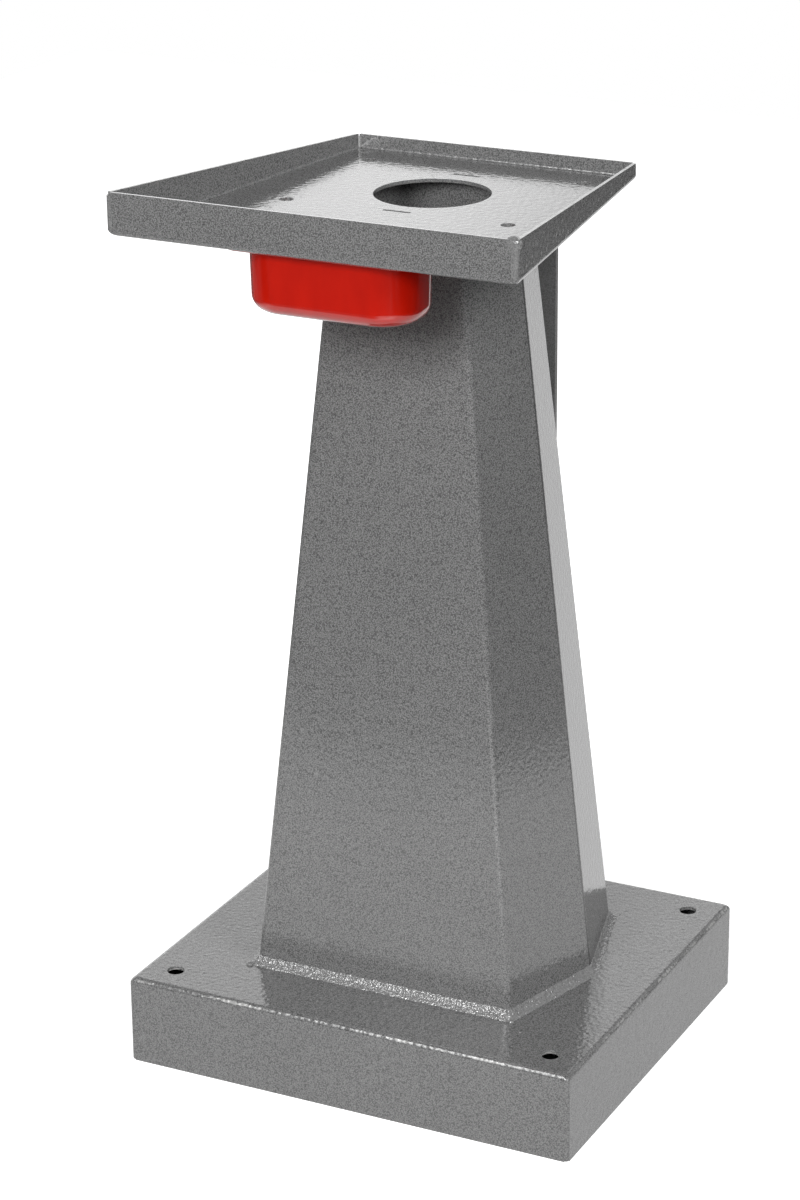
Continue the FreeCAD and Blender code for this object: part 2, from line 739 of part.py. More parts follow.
make_base_pan()
for end_name in ENDS:
    for side_name in SIDES:
        make_base_corner_weld(side_name, end_name)
for end_name in ENDS:
    make_column_shell(end_name)
for side_name in SIDES:
    make_column_seam(side_name)
make_ring_weld("column_foot_weld", "Sizes.foot_weld_leg", BASE_TOP, upward=True)
make_ring_weld("column_head_weld", "Sizes.head_weld_leg", TRAY_LEVEL, upward=False)
make_tray()
for end_name in ENDS:
    for side_name in SIDES:
        make_tray_corner_weld(side_name, end_name)
make_stay()
make_stay_foot_weld()
for side_name in SIDES:
    make_stay_head_weld(side_name)
for side_name in SIDES:
    make_rail(side_name)
make_water_pot()

doc.recompute()
for item in doc.Objects:
    if "Invalid" in item.State or "Error" in item.State:
        raise RuntimeError(f"{item.Label} failed: {item.State}")
for body in nodes:
    if body.Shape.isNull() or not body.Shape.isValid() or len(body.Shape.Solids) != 1:
        raise RuntimeError(f"{body.Label} is not one valid solid")

os.makedirs("parts", exist_ok=True)
for body in nodes:
    body.Shape.exportStep(f"parts/{body.Label}.step")
    box = body.Shape.BoundBox
    print(f"{body.Label}: volume {body.Shape.Volume:.0f} mm3, z {box.ZMin:.1f} to {box.ZMax:.1f}")
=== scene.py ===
import math
import random

import bmesh
import bpy
from mathutils import Matrix, Vector, noise


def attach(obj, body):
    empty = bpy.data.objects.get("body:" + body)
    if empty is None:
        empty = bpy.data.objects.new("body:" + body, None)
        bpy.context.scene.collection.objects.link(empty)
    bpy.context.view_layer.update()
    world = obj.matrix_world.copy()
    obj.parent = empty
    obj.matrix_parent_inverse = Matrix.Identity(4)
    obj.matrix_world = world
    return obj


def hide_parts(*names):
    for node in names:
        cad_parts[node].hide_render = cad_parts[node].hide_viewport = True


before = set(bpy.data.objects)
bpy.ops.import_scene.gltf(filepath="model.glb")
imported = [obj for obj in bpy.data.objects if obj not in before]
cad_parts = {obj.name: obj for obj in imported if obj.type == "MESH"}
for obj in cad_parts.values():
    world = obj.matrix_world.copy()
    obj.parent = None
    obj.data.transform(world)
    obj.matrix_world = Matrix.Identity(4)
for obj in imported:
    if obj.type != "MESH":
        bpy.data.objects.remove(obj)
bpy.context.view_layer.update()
scene = bpy.context.scene

# ---------------------------------------------------------------- sizes of the stand, in metres

SHEET = 0.003

BASE_WIDTH = 0.420
BASE_DEPTH = 0.365
BASE_TOP = 0.080
BASE_FOLD = 0.005
ANCHOR_ACROSS = 0.360
ANCHOR_ALONG = 0.305
ANCHOR_RADIUS = 0.0075

COLUMN_HEIGHT = 0.680
FOOT_FACE = 0.244
FOOT_CORNERS = 0.302
FOOT_DEPTH = 0.217
HEAD_FACE = 0.115
HEAD_DEPTH = 0.135
SIDE_SLOPE = (FOOT_CORNERS - FOOT_FACE) / FOOT_DEPTH
SIDE_SECANT = math.hypot(1, SIDE_SLOPE)
TAB_DROP = 0.0018

TRAY_LEVEL = BASE_TOP + COLUMN_HEIGHT
TRAY_FRONT = 0.2215
TRAY_REAR = 0.1215
TRAY_FRONT_WIDTH = 0.358
TRAY_REAR_WIDTH = 0.262
TRAY_FRONT_LIP = 0.036
TRAY_REAR_LIP = 0.015
TRAY_FOLD = 0.005
LIP_FLARE = (TRAY_FRONT_WIDTH - TRAY_REAR_WIDTH) / 2 / (TRAY_FRONT + TRAY_REAR)
LIP_SECANT = math.hypot(1, LIP_FLARE)
CABLE_RADIUS = 0.049
BOLTS_ACROSS = 0.200
BOLTS_ALONG = 0.150
BOLTS_MIDDLE = 0.007
BOLT_RADIUS = 0.006
RAIL_SETBACK = 0.014

STAY_WIDTH = 0.120
STAY_TAB = 0.030

POT_WIDTH = 0.150
POT_DEPTH = 0.078
POT_TOP = 0.7593
POT_HEIGHT = 0.055
POT_WALL = 0.002
POT_CORNER = 0.036
POT_ROUNDING = 0.013
POT_DRAFT = math.radians(1.4)
POT_MIDDLE = -0.165
POT_LIP_ROUNDING = (0.0004, 0.0008)
RIM_WIDTH = 0.007
RIM_THICKNESS = 0.002
RIM_CORNER = 0.012
RIM_EDGE = 0.0006

# Gaps between sheets, and how the welds fill them.
CORNER_GAP = 0.0005
BASE_RUN_LIFT = 0.001
FRONT_RUN_DROP = 0.0028
FRONT_RUN_PROUD = 0.0003
FRONT_RUN_BAND = 0.002
REAR_RUN_DROP = 0.0022
SEAM_BEVEL = 0.0015
SEAM_INSET = 0.0004
SEAM_ROOT = 0.0018
SEAM_END_GAP = 0.0002
FOOT_BEAD = 0.006
HEAD_BEAD = 0.004
STAY_BEAD = 0.005
STAY_BEAD_BULGE = (0.65, 0.5)
STAY_BEAD_BACK = 0.0002
STAY_GROOVE_DEPTH = 0.0029
STAY_GROOVE_PROUD = 0.0006
STAY_GROOVE_FACE = 0.002
STAY_GROOVE_TOP = 0.0034
STAY_TAB_GAP = 0.0003
INNER_BEAD = 0.0014
INNER_BEAD_DROP = 0.0020
CAP_RADIUS = 0.007
CAP_HEIGHT = 0.006
CAP_INSET = 0.005
CAP_DROP = 0.0045
CAP_PROUD = 0.0004

# A fillet's skin in legs, as (outwards, up), from its toe to its top.
FILLET_TOE = 1.12
FILLET_SKIN = [(1.02, 0.06), (0.74, 0.22), (0.48, 0.44), (0.28, 0.72), (0.13, 1.02), (0.0, 1.28)]
FILLET_TOP = 1.32
FILLET_BURIED = 0.0012
FILLET_SUNK = 0.0010

# Roundings of edges.
CUT_ROUNDING = 0.0004
THIN_CUT_ROUNDING = 0.0002
TRAY_CUT_ROUNDING = 0.00015
CORNER_ROUNDING = 0.0030
HOLE_ROUNDING = 0.0007
SEAM_ROUNDING = 0.0006

# Limits that sort edges and points.
NEAR = 0.00002
MERGED = 0.000001
FLAT_ANGLE = math.radians(0.5)
CUT_ANGLE = math.radians(35)
SHARP_ANGLE = math.radians(50)
MITRE_LONGEST = 0.01

SIDES = {"left": -1, "right": 1}
ENDS = {"front": -1, "rear": 1}


# ---------------------------------------------------------------- camera

CAMERA_SENSOR = 36
CAMERA_LENS = 104.5
CAMERA_PLACE = (1.2299, -2.5163, 1.4671)
CAMERA_AROUND = math.radians(26.655)
CAMERA_ABOVE = math.radians(20.771)
CAMERA_ROLL = math.radians(-0.503)


def place_camera():
    """Long lens on the user's right, looking down over the tray."""
    camera = bpy.data.objects.new("camera", bpy.data.cameras.new("camera"))
    scene.collection.objects.link(camera)
    scene.camera = camera
    camera.data.sensor_width = CAMERA_SENSOR
    camera.data.lens = CAMERA_LENS
    back = Vector((
        math.sin(CAMERA_AROUND) * math.cos(CAMERA_ABOVE),
        -math.cos(CAMERA_AROUND) * math.cos(CAMERA_ABOVE),
        math.sin(CAMERA_ABOVE),
    ))
    right = (-back).cross(Vector((0, 0, 1))).normalized()
    up = right.cross(-back)
    tilted_right = right * math.cos(CAMERA_ROLL) + up * math.sin(CAMERA_ROLL)
    tilted_up = up * math.cos(CAMERA_ROLL) - right * math.sin(CAMERA_ROLL)
    turn = Matrix((tilted_right, tilted_up, back)).transposed()
    camera.matrix_world = Matrix.Translation(CAMERA_PLACE) @ turn.to_4x4()


place_camera()


# ---------------------------------------------------------------- node helpers

FLOAT = "NodeSocketFloat"
COLOUR = "NodeSocketColor"
MIX_FACTOR, MIX_FIRST, MIX_SECOND = 0, 6, 7
MIX_RESULT = 2


def add_node(tree, kind, values=None, **settings):
    """A node with its settings, and values or links for its inputs."""
    node = tree.nodes.new(kind)
    for name, setting in settings.items():
        setattr(node, name, setting)
    for name, value in (values or {}).items():
        if isinstance(value, bpy.types.NodeSocket):
            tree.links.new(value, node.inputs[name])
        else:
            node.inputs[name].default_value = value
    return node


def add_ramp(tree, factor, stops):
    """A colour ramp in greys through (place, grey) stops."""
    node = add_node(tree, "ShaderNodeValToRGB", {"Fac": factor})
    ramp = node.color_ramp
    for number, (place, grey) in enumerate(stops):
        stop = ramp.elements[number] if number < 2 else ramp.elements.new(place)
        stop.position = place
        stop.color = (grey, grey, grey, 1)
    return node.outputs["Color"]


def add_math(tree, operation, *values):
    """One operation on one, two or three values."""
    node = add_node(tree, "ShaderNodeMath", dict(enumerate(values)), operation=operation)
    return node.outputs["Value"]


def add_product(tree, result, *others):
    """The product of several values."""
    for other in others:
        result = add_math(tree, "MULTIPLY", result, other)
    return result


def add_sum(tree, result, *others):
    """The sum of several values."""
    for other in others:
        result = add_math(tree, "ADD", result, other)
    return result


def add_colour_mix(tree, share, first, second):
    """A blend from the first colour to the second."""
    values = {MIX_FACTOR: share, MIX_FIRST: first, MIX_SECOND: second}
    node = add_node(tree, "ShaderNodeMix", values, data_type="RGBA")
    return node.outputs[MIX_RESULT]


def new_group(name, inputs, outputs):
    """A shader node group with named sockets."""
    tree = bpy.data.node_groups.new(name, "ShaderNodeTree")
    for label, kind, default in inputs:
        socket = tree.interface.new_socket(name=label, in_out="INPUT", socket_type=kind)
        socket.default_value = default
    for label, kind in outputs:
        tree.interface.new_socket(name=label, in_out="OUTPUT", socket_type=kind)
    return tree, tree.nodes.new("NodeGroupInput"), tree.nodes.new("NodeGroupOutput")


def new_material(name):
    """An empty node material with its output."""
    material = bpy.data.materials.new(name)
    material.use_nodes = True
    material.node_tree.nodes.clear()
    output = material.node_tree.nodes.new("ShaderNodeOutputMaterial")
    return material, material.node_tree, output


# ---------------------------------------------------------------- surroundings

WHITE = (1, 1, 1, 1)

# The lights of the room are ramps of (place, strength) along the directions of the world.
# Place is the sine of the angle towards that direction: 0 is square to it, 1 straight along.
RING_STRENGTH = 1.1
RING = {"up": [(0.10, 0.0), (0.18, 1.0), (0.45, 1.0), (0.60, 0.02)]}
STRIP_SHIFT = 0.2
STRIP_NORTH = [(0.05, 0.0), (0.30, 1.0)]
STRIP = {
    "west": [(0.15, 0.0), (0.35, 1.0)],
    "up": [(0.18, 5.0), (0.26, 0.0)],
}
LOW_WALL = {
    "up": [(0.04, 0.04), (0.09, 1.0), (0.18, 1.0), (0.23, 0.0)],
    "east": [(0.0, 1.0), (0.10, 0.10)],
}
MIDDLE_WALL = {
    "up": [(0.18, 0.0), (0.23, 1.0), (0.30, 1.0), (0.36, 0.0)],
    "east": [(0.26, 1.0), (0.36, 0.10)],
}
HIGH_WALL = {
    "up": [(0.30, 0.0), (0.36, 0.7), (0.50, 0.7), (0.62, 0.04)],
    "west": [(0.0, 0.40), (0.12, 1.0)],
}
WALL_STRENGTH = 2.05
WALL_DIP = {"west": [(0.30, 1.0), (0.37, 0.70), (0.43, 1.0)]}
WALL_REACH = {"north": [(0.0, 0.03), (0.25, 1.0)]}
FAR_FLOOR = {
    "up": [(0.02, 0.08), (0.12, 0.0)],
    "south": [(0.30, 0.0), (0.50, 1.0)],
}
SOFTBOX_STRENGTH = 9.0
SOFTBOX = {
    "west": [(0.16, 0.0), (0.26, 1.0), (0.36, 1.0), (0.42, 0.10), (0.47, 0.0)],
    "south": [(0.22, 0.0), (0.32, 1.0), (0.90, 1.0), (0.97, 0.0)],
    "up": [
        (0.34, 0.0), (0.46, 0.55), (0.62, 0.65), (0.70, 1.0), (0.86, 1.0), (0.94, 0.0),
    ],
}


def add_directions(tree):
    """The directions of the world as values."""
    place = add_node(tree, "ShaderNodeTexCoord").outputs["Generated"]
    split = add_node(tree, "ShaderNodeSeparateXYZ", {"Vector": place})
    east, north, up = (split.outputs[axis] for axis in "XYZ")
    return {
        "east": east,
        "west": add_product(tree, east, -1.0),
        "north": north,
        "south": add_product(tree, north, -1.0),
        "up": up,
    }


def add_area(tree, directions, ramps):
    """An area of the room: the product of its ramps."""
    return add_product(tree, *(
        add_ramp(tree, directions[name], stops) for name, stops in ramps.items()))


def add_soft_room(tree, directions):
    """Light for dull paint: a ring round the stand, and a low strip behind it on the left."""
    ring = add_product(tree, add_area(tree, directions, RING), RING_STRENGTH)
    shifted = add_sum(tree, directions["north"], STRIP_SHIFT)
    strip = add_product(
        tree, add_area(tree, directions, STRIP), add_ramp(tree, shifted, STRIP_NORTH))
    return add_sum(tree, ring, strip)


def add_mirrored_room(tree, directions):
    """Light for the gloss: a wall behind, a far floor and a softbox high in front."""
    def area(ramps):
        return add_area(tree, directions, ramps)

    lower_wall = add_sum(tree, area(LOW_WALL), area(MIDDLE_WALL))
    dipped_wall = add_product(tree, lower_wall, area(WALL_DIP))
    wall = add_product(
        tree, add_sum(tree, dipped_wall, area(HIGH_WALL)), area(WALL_REACH), WALL_STRENGTH)
    softbox = add_product(tree, area(SOFTBOX), SOFTBOX_STRENGTH)
    return add_sum(tree, wall, area(FAR_FLOOR), softbox)


def make_surroundings():
    """A white view, and a room that lights dull paint and gloss apart."""
    world = bpy.data.worlds.new("studio")
    scene.world = world
    world.use_nodes = True
    tree = world.node_tree
    tree.nodes.clear()
    directions = add_directions(tree)
    strengths = (
        add_soft_room(tree, directions), add_mirrored_room(tree, directions), 1.0)
    soft, mirrored, white = (
        add_node(tree, "ShaderNodeBackground", {"Color": WHITE, "Strength": strength}).outputs[0]
        for strength in strengths
    )
    rays = add_node(tree, "ShaderNodeLightPath")
    lit = add_node(tree, "ShaderNodeMixShader", {
        0: rays.outputs["Is Glossy Ray"], 1: soft, 2: mirrored,
    })
    seen = add_node(tree, "ShaderNodeMixShader", {
        0: rays.outputs["Is Camera Ray"], 1: lit.outputs[0], 2: white,
    })
    add_node(tree, "ShaderNodeOutputWorld", {"Surface": seen.outputs[0]})


make_surroundings()


# ---------------------------------------------------------------- floor

FLOOR_REACH = (2.2, 2.6, 1)
FLOOR_MIDDLE = (-0.3, 0.9, 0)
COVERED_ACROSS = 0.2
COVERED_ALONG = 0.175

# The floor's own light: ramps of (place, strength). A ramp runs from 0 to 1, so distances
# are first turned into shares of two metres, or shifted.
PER_METRE = 0.5
SHOWN = [(0.15, 0.62), (0.45, 1.0)]
SLANT = 0.3
RIGHT_END = [(0.55, 0.98), (0.62, 0.06)]
FRONT_SHIFT = 1.4
FRONT_END = [(0.30, 0.18), (0.55, 1.0)]
LEFT_SHIFT = 1.5
LEFT_END = [(0.10, 0.10), (0.70, 1.0)]
STREAK_BEARING = [(0.05, 0.0), (0.30, 1.0), (0.75, 1.0), (1.0, 0.0)]
STREAK_REACH = [(0.34, 0.0), (0.50, 1.0), (0.84, 1.0), (0.95, 0.0)]

# How pale the floor is to light, to the camera and to the gloss.
PALENESS = 0.45
PALER_TO_CAMERA = 0.35
DULLER_TO_GLOSS = 0.45


def add_floor_glow(tree, across, along, reach):
    """What the gloss sees of the floor: bright behind and beside, with a streak in front."""
    slant = add_math(tree, "MULTIPLY_ADD", along, SLANT, across)
    open_part = add_product(
        tree,
        add_ramp(tree, add_product(tree, slant, PER_METRE), RIGHT_END),
        add_ramp(tree, add_sum(tree, along, FRONT_SHIFT), FRONT_END),
        add_ramp(tree, add_sum(tree, across, LEFT_SHIFT), LEFT_END),
    )
    southward = add_product(tree, along, -1.0)
    bearing = add_math(tree, "ARCTAN2", across, southward)
    streak = add_product(
        tree, add_ramp(tree, bearing, STREAK_BEARING), add_ramp(tree, reach, STREAK_REACH))
    return add_sum(tree, open_part, streak)


def make_pale_floor():
    """A dull floor that keeps a soft shadow, and turns white towards its edges."""
    material, tree, output = new_material("pale_floor")
    rays = add_node(tree, "ShaderNodeLightPath")
    camera_ray = rays.outputs["Is Camera Ray"]
    glossy_ray = rays.outputs["Is Glossy Ray"]
    place = add_node(tree, "ShaderNodeTexCoord").outputs["Object"]
    split = add_node(tree, "ShaderNodeSeparateXYZ", {"Vector": place})
    across, along = split.outputs["X"], split.outputs["Y"]
    away = add_node(tree, "ShaderNodeVectorMath", {0: place}, operation="LENGTH")
    reach = add_product(tree, away.outputs["Value"], PER_METRE)
    beside, beyond = (
        add_math(tree, "GREATER_THAN", add_math(tree, "ABSOLUTE", distance), covered)
        for distance, covered in ((across, COVERED_ACROSS), (along, COVERED_ALONG))
    )
    open_floor = add_math(tree, "MAXIMUM", beside, beyond)
    camera_part = add_product(tree, add_ramp(tree, reach, SHOWN), camera_ray)
    glossy_part = add_product(tree, add_floor_glow(tree, across, along, reach), glossy_ray)
    glow = add_product(tree, add_sum(tree, camera_part, glossy_part), open_floor)
    paleness = add_math(tree, "MULTIPLY_ADD", camera_ray, PALER_TO_CAMERA, PALENESS)
    dullness = add_product(tree, glossy_ray, DULLER_TO_GLOSS)
    tone = add_math(tree, "SUBTRACT", paleness, dullness)
    pale = add_node(tree, "ShaderNodeCombineColor", {"Red": tone, "Green": tone, "Blue": tone})
    shader = add_node(tree, "ShaderNodeBsdfPrincipled", {
        "Base Color": pale.outputs[0],
        "Roughness": 0.9,
        "Specular IOR Level": 0.0,
        "Emission Color": WHITE,
        "Emission Strength": glow,
    })
    tree.links.new(shader.outputs[0], output.inputs["Surface"])
    return material


def make_floor():
    """The floor under the stand."""
    bm = bmesh.new()
    bmesh.ops.create_grid(bm, x_segments=1, y_segments=1, size=1.0)
    bmesh.ops.scale(bm, vec=FLOOR_REACH, verts=bm.verts)
    bmesh.ops.translate(bm, vec=FLOOR_MIDDLE, verts=bm.verts)
    mesh = bpy.data.meshes.new("floor")
    bm.to_mesh(mesh)
    bm.free()
    floor = bpy.data.objects.new("floor", mesh)
    scene.collection.objects.link(floor)
    mesh.materials.append(make_pale_floor())


make_floor()


# ---------------------------------------------------------------- lamps

LAMP_TARGET = Vector((0, 0, 0.45))
LAMPS = {
    "key": {"place": (0.15, -2.9, 2.05), "size": (1.6, 1.0), "power": 83},
    "side": {"place": (2.3, -1.0, 2.3), "size": (1.2, 1.0), "power": 44},
}


def add_lamp(name, place, size, power):
    """A soft rectangular lamp that points at the column."""
    light = bpy.data.lights.new(name, "AREA")
    light.shape = "RECTANGLE"
    light.size, light.size_y = size
    light.energy = power
    lamp = bpy.data.objects.new(name, light)
    scene.collection.objects.link(lamp)
    lamp.location = place
    aim = LAMP_TARGET - Vector(place)
    lamp.rotation_euler = aim.to_track_quat("-Z", "Y").to_euler()


for lamp_name, lamp_settings in LAMPS.items():
    add_lamp(lamp_name, **lamp_settings)


# ---------------------------------------------------------------- shared effects

# The grains of the enamel, per metre.
CELLS = 880.0
SPECKLE = 1500.0
CLOUD = 9.0
DRIFT = 800.0
DRIFT_REACH = 0.0011

DIMPLE = [(0.05, 1.0), (0.75, 0.0)]
GRAIN_MIDDLE = 0.98
CLOUD_SWING = 0.12
CLOUD_FLOOR = 0.94
DULLING = 0.06

# Pale specks along the base's top fold: rubbed paint, and a painted highlight standing in for the
# sparkle of the fold.
SCUFF_SPARKLE_SPECKS = 340.0
SCUFF_SPARKLE_RUNS = 30.0
SCUFF_SPARKLE_CUT = [(0.20, 0.0), (0.30, 1.0)]
PALE_SCUFF_AND_SPARKLE = (0.55, 0.55, 0.54, 1)


def make_hammertone_effect():
    """Mottled enamel: small pale cells in darker veins, and an orange-peel skin."""
    tree, given, result = new_group("hammertone_effect", [
        ("Grey", FLOAT, 0.17),
        ("Mottle", FLOAT, 0.22),
        ("Peel per metre", FLOAT, 260.0),
        ("Roughness", FLOAT, 0.1),
    ], [("Colour", COLOUR), ("Roughness", FLOAT), ("Height", FLOAT)])
    place = add_node(tree, "ShaderNodeTexCoord").outputs["Object"]
    drift = add_node(tree, "ShaderNodeTexNoise", {"Vector": place, "Scale": DRIFT, "Detail": 1.0})
    shift = add_node(tree, "ShaderNodeVectorMath", {
        0: drift.outputs["Color"], 1: (DRIFT_REACH, DRIFT_REACH, DRIFT_REACH),
    }, operation="MULTIPLY")
    wandering = add_node(tree, "ShaderNodeVectorMath", {0: place, 1: shift.outputs[0]})
    cells = add_node(tree, "ShaderNodeTexVoronoi", {
        "Vector": wandering.outputs[0], "Scale": CELLS,
    })
    dimple = add_ramp(tree, cells.outputs["Distance"], DIMPLE)
    speckle, cloud = (
        add_node(tree, "ShaderNodeTexNoise", {
            "Vector": place, "Scale": scale, "Detail": 2.0,
        }).outputs["Fac"]
        for scale in (SPECKLE, CLOUD)
    )
    grain = add_math(tree, "SUBTRACT", add_sum(tree, dimple, speckle), GRAIN_MIDDLE)
    fleck = add_product(tree, grain, given.outputs["Mottle"])
    patch = add_math(tree, "MULTIPLY_ADD", cloud, CLOUD_SWING, CLOUD_FLOOR)
    grey = add_product(tree, add_sum(tree, fleck, patch), given.outputs["Grey"])
    colour = add_node(tree, "ShaderNodeCombineColor", {"Red": grey, "Green": grey, "Blue": grey})
    dulling = add_math(tree, "MULTIPLY_ADD", speckle, DULLING, given.outputs["Roughness"])
    peel = add_node(tree, "ShaderNodeTexNoise", {
        "Vector": place, "Scale": given.outputs["Peel per metre"], "Detail": 0.3,
    })
    tree.links.new(colour.outputs[0], result.inputs["Colour"])
    tree.links.new(dulling, result.inputs["Roughness"])
    tree.links.new(peel.outputs["Fac"], result.inputs["Height"])
    return tree


def make_scuff_and_sparkle_effect():
    """Pale specks in a band about one level, as along a folded edge: rubbed paint, and a painted
    highlight for the sparkle of the fold.
    """
    tree, given, result = new_group("scuff_and_sparkle_effect", [
        ("Level", FLOAT, 0.078),
        ("Reach", FLOAT, 0.003),
        ("Amount", FLOAT, 0.5),
    ], [("Mask", FLOAT)])
    place = add_node(tree, "ShaderNodeTexCoord").outputs["Object"]
    split = add_node(tree, "ShaderNodeSeparateXYZ", {"Vector": place})
    away = add_math(tree, "SUBTRACT", split.outputs["Z"], given.outputs["Level"])
    distance = add_math(tree, "ABSOLUTE", away)
    share = add_math(tree, "DIVIDE", distance, given.outputs["Reach"])
    band = add_math(tree, "MAXIMUM", add_math(tree, "SUBTRACT", 1.0, share), 0.0)
    specks = add_node(tree, "ShaderNodeTexNoise", {
        "Vector": place, "Scale": SCUFF_SPARKLE_SPECKS, "Detail": 3.0,
    })
    runs = add_node(tree, "ShaderNodeTexNoise", {
        "Vector": place, "Scale": SCUFF_SPARKLE_RUNS, "Detail": 1.0,
    })
    worn_and_lit = add_product(tree, specks.outputs["Fac"], runs.outputs["Fac"], band)
    mask = add_product(tree, add_ramp(tree, worn_and_lit, SCUFF_SPARKLE_CUT), given.outputs["Amount"])
    tree.links.new(mask, result.inputs["Mask"])
    return tree


HAMMERTONE = make_hammertone_effect()
SCUFF_AND_SPARKLE = make_scuff_and_sparkle_effect()


# ---------------------------------------------------------------- materials

ENAMEL_IOR = 1.7

FLOW_STRETCH = (60.0, 60.0, 22.0)
DEEP_RED = (0.37, 0.0045, 0.0008, 1)
BRIGHT_RED = (0.52, 0.0090, 0.0016, 1)
WAVE_HEIGHT = 0.0002
RED_ROUGHNESS = 0.10
RED_DULLING = 0.08
PLASTIC_IOR = 1.5


def make_enamel(name, grey, mottle, roughness, relief, peel=260.0, scuff_sparkle_level=None):
    """Grey hammertone enamel on sheet or weld."""
    material, tree, output = new_material(name)
    paint = add_node(tree, "ShaderNodeGroup", node_tree=HAMMERTONE)
    paint.inputs["Grey"].default_value = grey
    paint.inputs["Mottle"].default_value = mottle
    paint.inputs["Peel per metre"].default_value = peel
    paint.inputs["Roughness"].default_value = roughness
    colour = paint.outputs["Colour"]
    # Pale specks along the fold: rubbed paint and a painted sparkle highlight.
    if scuff_sparkle_level is not None:
        wear_and_sparkle = add_node(tree, "ShaderNodeGroup", node_tree=SCUFF_AND_SPARKLE)
        wear_and_sparkle.inputs["Level"].default_value = scuff_sparkle_level
        colour = add_colour_mix(tree, wear_and_sparkle.outputs["Mask"], colour, PALE_SCUFF_AND_SPARKLE)
    skin = add_node(tree, "ShaderNodeBump", {
        "Height": paint.outputs["Height"], "Strength": 1.0, "Distance": relief,
    })
    shader = add_node(tree, "ShaderNodeBsdfPrincipled", {
        "Base Color": colour,
        "Roughness": paint.outputs["Roughness"],
        "IOR": ENAMEL_IOR,
        "Normal": skin.outputs["Normal"],
    })
    tree.links.new(shader.outputs[0], output.inputs["Surface"])
    return material


def make_red_moulding():
    """Glossy red plastic with the faint waviness of a moulded wall."""
    material, tree, output = new_material("red_moulding")
    place = add_node(tree, "ShaderNodeTexCoord").outputs["Object"]
    stretched = add_node(tree, "ShaderNodeMapping", {"Vector": place, "Scale": FLOW_STRETCH})
    flow = add_node(tree, "ShaderNodeTexNoise", {
        "Vector": stretched.outputs[0], "Scale": 1.0, "Detail": 3.0,
    }).outputs["Fac"]
    waves = add_node(tree, "ShaderNodeBump", {
        "Height": flow, "Strength": 1.0, "Distance": WAVE_HEIGHT,
    })
    shader = add_node(tree, "ShaderNodeBsdfPrincipled", {
        "Base Color": add_colour_mix(tree, flow, DEEP_RED, BRIGHT_RED),
        "Roughness": add_math(tree, "MULTIPLY_ADD", flow, RED_DULLING, RED_ROUGHNESS),
        "IOR": PLASTIC_IOR,
        "Coat Weight": 0.8,
        "Coat Roughness": 0.05,
        "Normal": waves.outputs["Normal"],
    })
    tree.links.new(shader.outputs[0], output.inputs["Surface"])
    return material


SHEET_ENAMEL = make_enamel(
    "hammertone_sheet", grey=0.17, mottle=1.05, roughness=0.09, relief=0.00019)
# The base's enamel has pale specks along its top fold, partly rubbed paint and partly a painted
# highlight.
BASE_ENAMEL = make_enamel(
    "hammertone_base", grey=0.17, mottle=1.02, roughness=0.09, relief=0.00030, scuff_sparkle_level=0.078)
# The stay and the rails have the frame's paint made lighter: painted light that lifts them in the
# shade under the tray and behind the column.
STAY_LIGHTENED_ENAMEL = make_enamel(
    "hammertone_stay_lightened", grey=0.23, mottle=0.5, roughness=0.12, relief=0.00010)
WELD_ENAMEL = make_enamel(
    "painted_weld", grey=0.20, mottle=0.45, roughness=0.08, relief=0.00095, peel=560.0)
# Dark seam paint: painted shade, standing in for the shadow in the grooves of the column's corner
# seams.
SEAM_SHADE_ENAMEL = make_enamel(
    "painted_seam_shade", grey=0.08, mottle=0.30, roughness=0.16, relief=0.00060, peel=420.0)
RUN_ENAMEL = make_enamel(
    "painted_run", grey=0.19, mottle=0.60, roughness=0.09, relief=0.00090, peel=420.0)
# Pale paint for the beads inside the tray's rear corners: a painted highlight for the bright line
# of their glint.
GLINT_ENAMEL = make_enamel(
    "painted_glint_ridge", grey=0.31, mottle=0.45, roughness=0.09, relief=0.00060, peel=560.0)
RED_MOULDING = make_red_moulding()


# ---------------------------------------------------------------- mesh helpers

# A ripple's fine part: its size and depth as shares of the coarse part, and its shift.
FINE_SIZE = 0.4
FINE_DEPTH = 0.5
FINE_SHIFT = Vector((7, 3, 5))

# Long edges whose lengths fall in the same step are divided alike.
LENGTH_STEP = 0.02


def finish_piece(bm, name, material, body="stand", replaced=()):
    """Turns a bmesh into a smooth-shaded piece that rides on its body."""
    for face in bm.faces:
        face.smooth = True
    for edge in bm.edges:
        if edge.is_manifold and edge.calc_face_angle() > SHARP_ANGLE:
            edge.smooth = False
    mesh = bpy.data.meshes.new(name)
    bm.to_mesh(mesh)
    bm.free()
    mesh.materials.append(material)
    piece = bpy.data.objects.new(name, mesh)
    scene.collection.objects.link(piece)
    weights = piece.modifiers.new("face_weights", "WEIGHTED_NORMAL")
    weights.keep_sharp = True
    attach(piece, body)
    if replaced:
        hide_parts(*replaced)


def round_edges(bm, edges, width, segments):
    """Bevels edges into a round."""
    bmesh.ops.bevel(
        bm, geom=edges, offset=width, segments=segments, profile=0.5,
        affect="EDGES", material=-1, clamp_overlap=True,
    )


def add_loop(bm, points):
    """A closed loop of edges through a few points."""
    verts = [bm.verts.new(point) for point in points]
    return [bm.edges.new((verts[number - 1], verts[number])) for number in range(len(verts))]


def bridge(bm, loops):
    """Skins neighbouring loops."""
    for first, second in zip(loops, loops[1:]):
        bmesh.ops.bridge_loops(bm, edges=first + second)


def make_bar(bm, first_points, second_points):
    """A closed bar between two outlines with as many corners."""
    ends = [add_loop(bm, first_points), add_loop(bm, second_points)]
    bridge(bm, ends)
    for loop in ends:
        bmesh.ops.contextual_create(bm, geom=loop)


